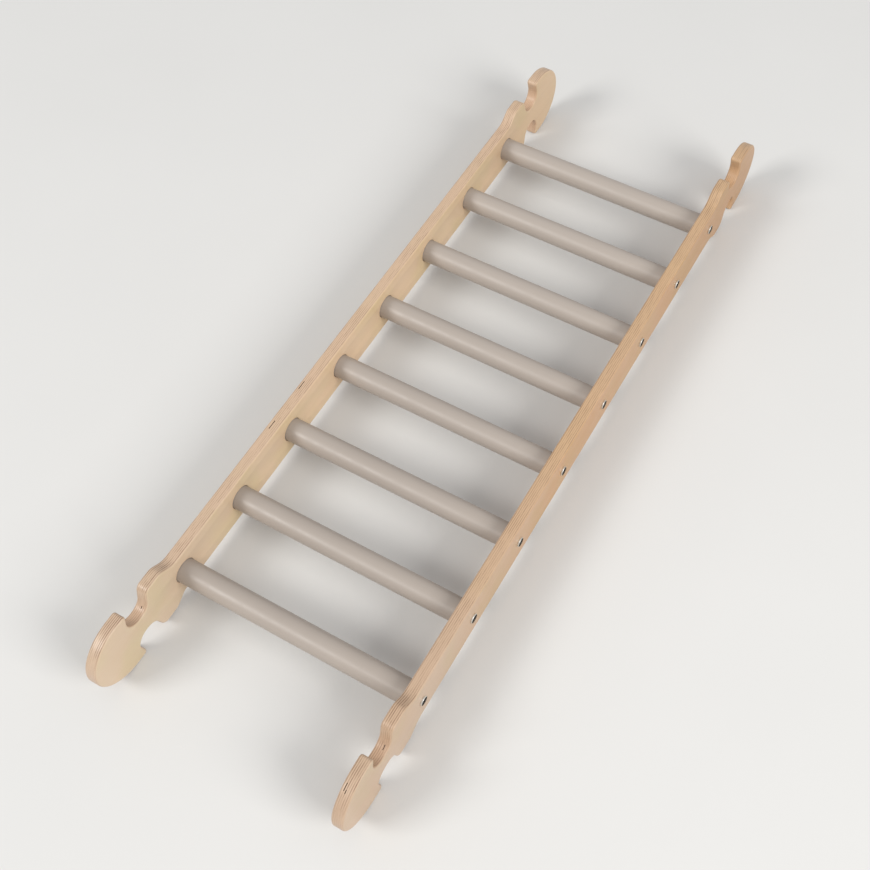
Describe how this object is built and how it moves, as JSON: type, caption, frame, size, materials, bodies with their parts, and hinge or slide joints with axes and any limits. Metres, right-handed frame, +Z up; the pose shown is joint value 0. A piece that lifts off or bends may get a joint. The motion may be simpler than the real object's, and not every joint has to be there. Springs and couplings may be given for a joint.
{
  "type": "monkey bars",
  "caption": "Hook-on monkey-bar ladder: painted round rungs between two plywood rails whose ends are notched to hook over a climbing frame's round bars.",
  "frame": {"origin": "on the floor under the middle of the ladder as it lies flat on its rail heads", "axes": "+X across the ladder along the rungs, +Y along the rails, +Z up"},
  "size_m": [0.388, 1.235, 0.114],
  "materials": {
    "plywood": "clear satin lacquer over sanded birch plywood, plies showing on the edges",
    "rung_paint": "satin warm light grey paint over a turned wooden bar",
    "bolt_steel": "bright zinc-plated steel",
    "insert_zinc": "dull zinc-plated steel"
  },
  "bodies": {
    "root": {"rail_left": "plywood", "rail_right": "plywood", "rung_1": "rung_paint", "rung_2": "rung_paint", "rung_3": "rung_paint", "rung_4": "rung_paint", "rung_5": "rung_paint", "rung_6": "rung_paint", "rung_7": "rung_paint", "rung_8": "rung_paint", "bolt_left_1": "bolt_steel", "bolt_left_2": "bolt_steel", "bolt_left_3": "bolt_steel", "bolt_left_4": "bolt_steel", "bolt_left_5": "bolt_steel", "bolt_left_6": "bolt_steel", "bolt_left_7": "bolt_steel", "bolt_left_8": "bolt_steel", "bolt_right_1": "bolt_steel", "bolt_right_2": "bolt_steel", "bolt_right_3": "bolt_steel", "bolt_right_4": "bolt_steel", "bolt_right_5": "bolt_steel", "bolt_right_6": "bolt_steel", "bolt_right_7": "bolt_steel", "bolt_right_8": "bolt_steel", "insert_left_1": "insert_zinc", "insert_left_2": "insert_zinc", "insert_left_3": "insert_zinc", "insert_left_4": "insert_zinc", "insert_left_5": "insert_zinc", "insert_left_6": "insert_zinc", "insert_left_7": "insert_zinc", "insert_left_8": "insert_zinc", "insert_right_1": "insert_zinc", "insert_right_2": "insert_zinc", "insert_right_3": "insert_zinc", "insert_right_4": "insert_zinc", "insert_right_5": "insert_zinc", "insert_right_6": "insert_zinc", "insert_right_7": "insert_zinc", "insert_right_8": "insert_zinc"}
  },
  "joints": []
}
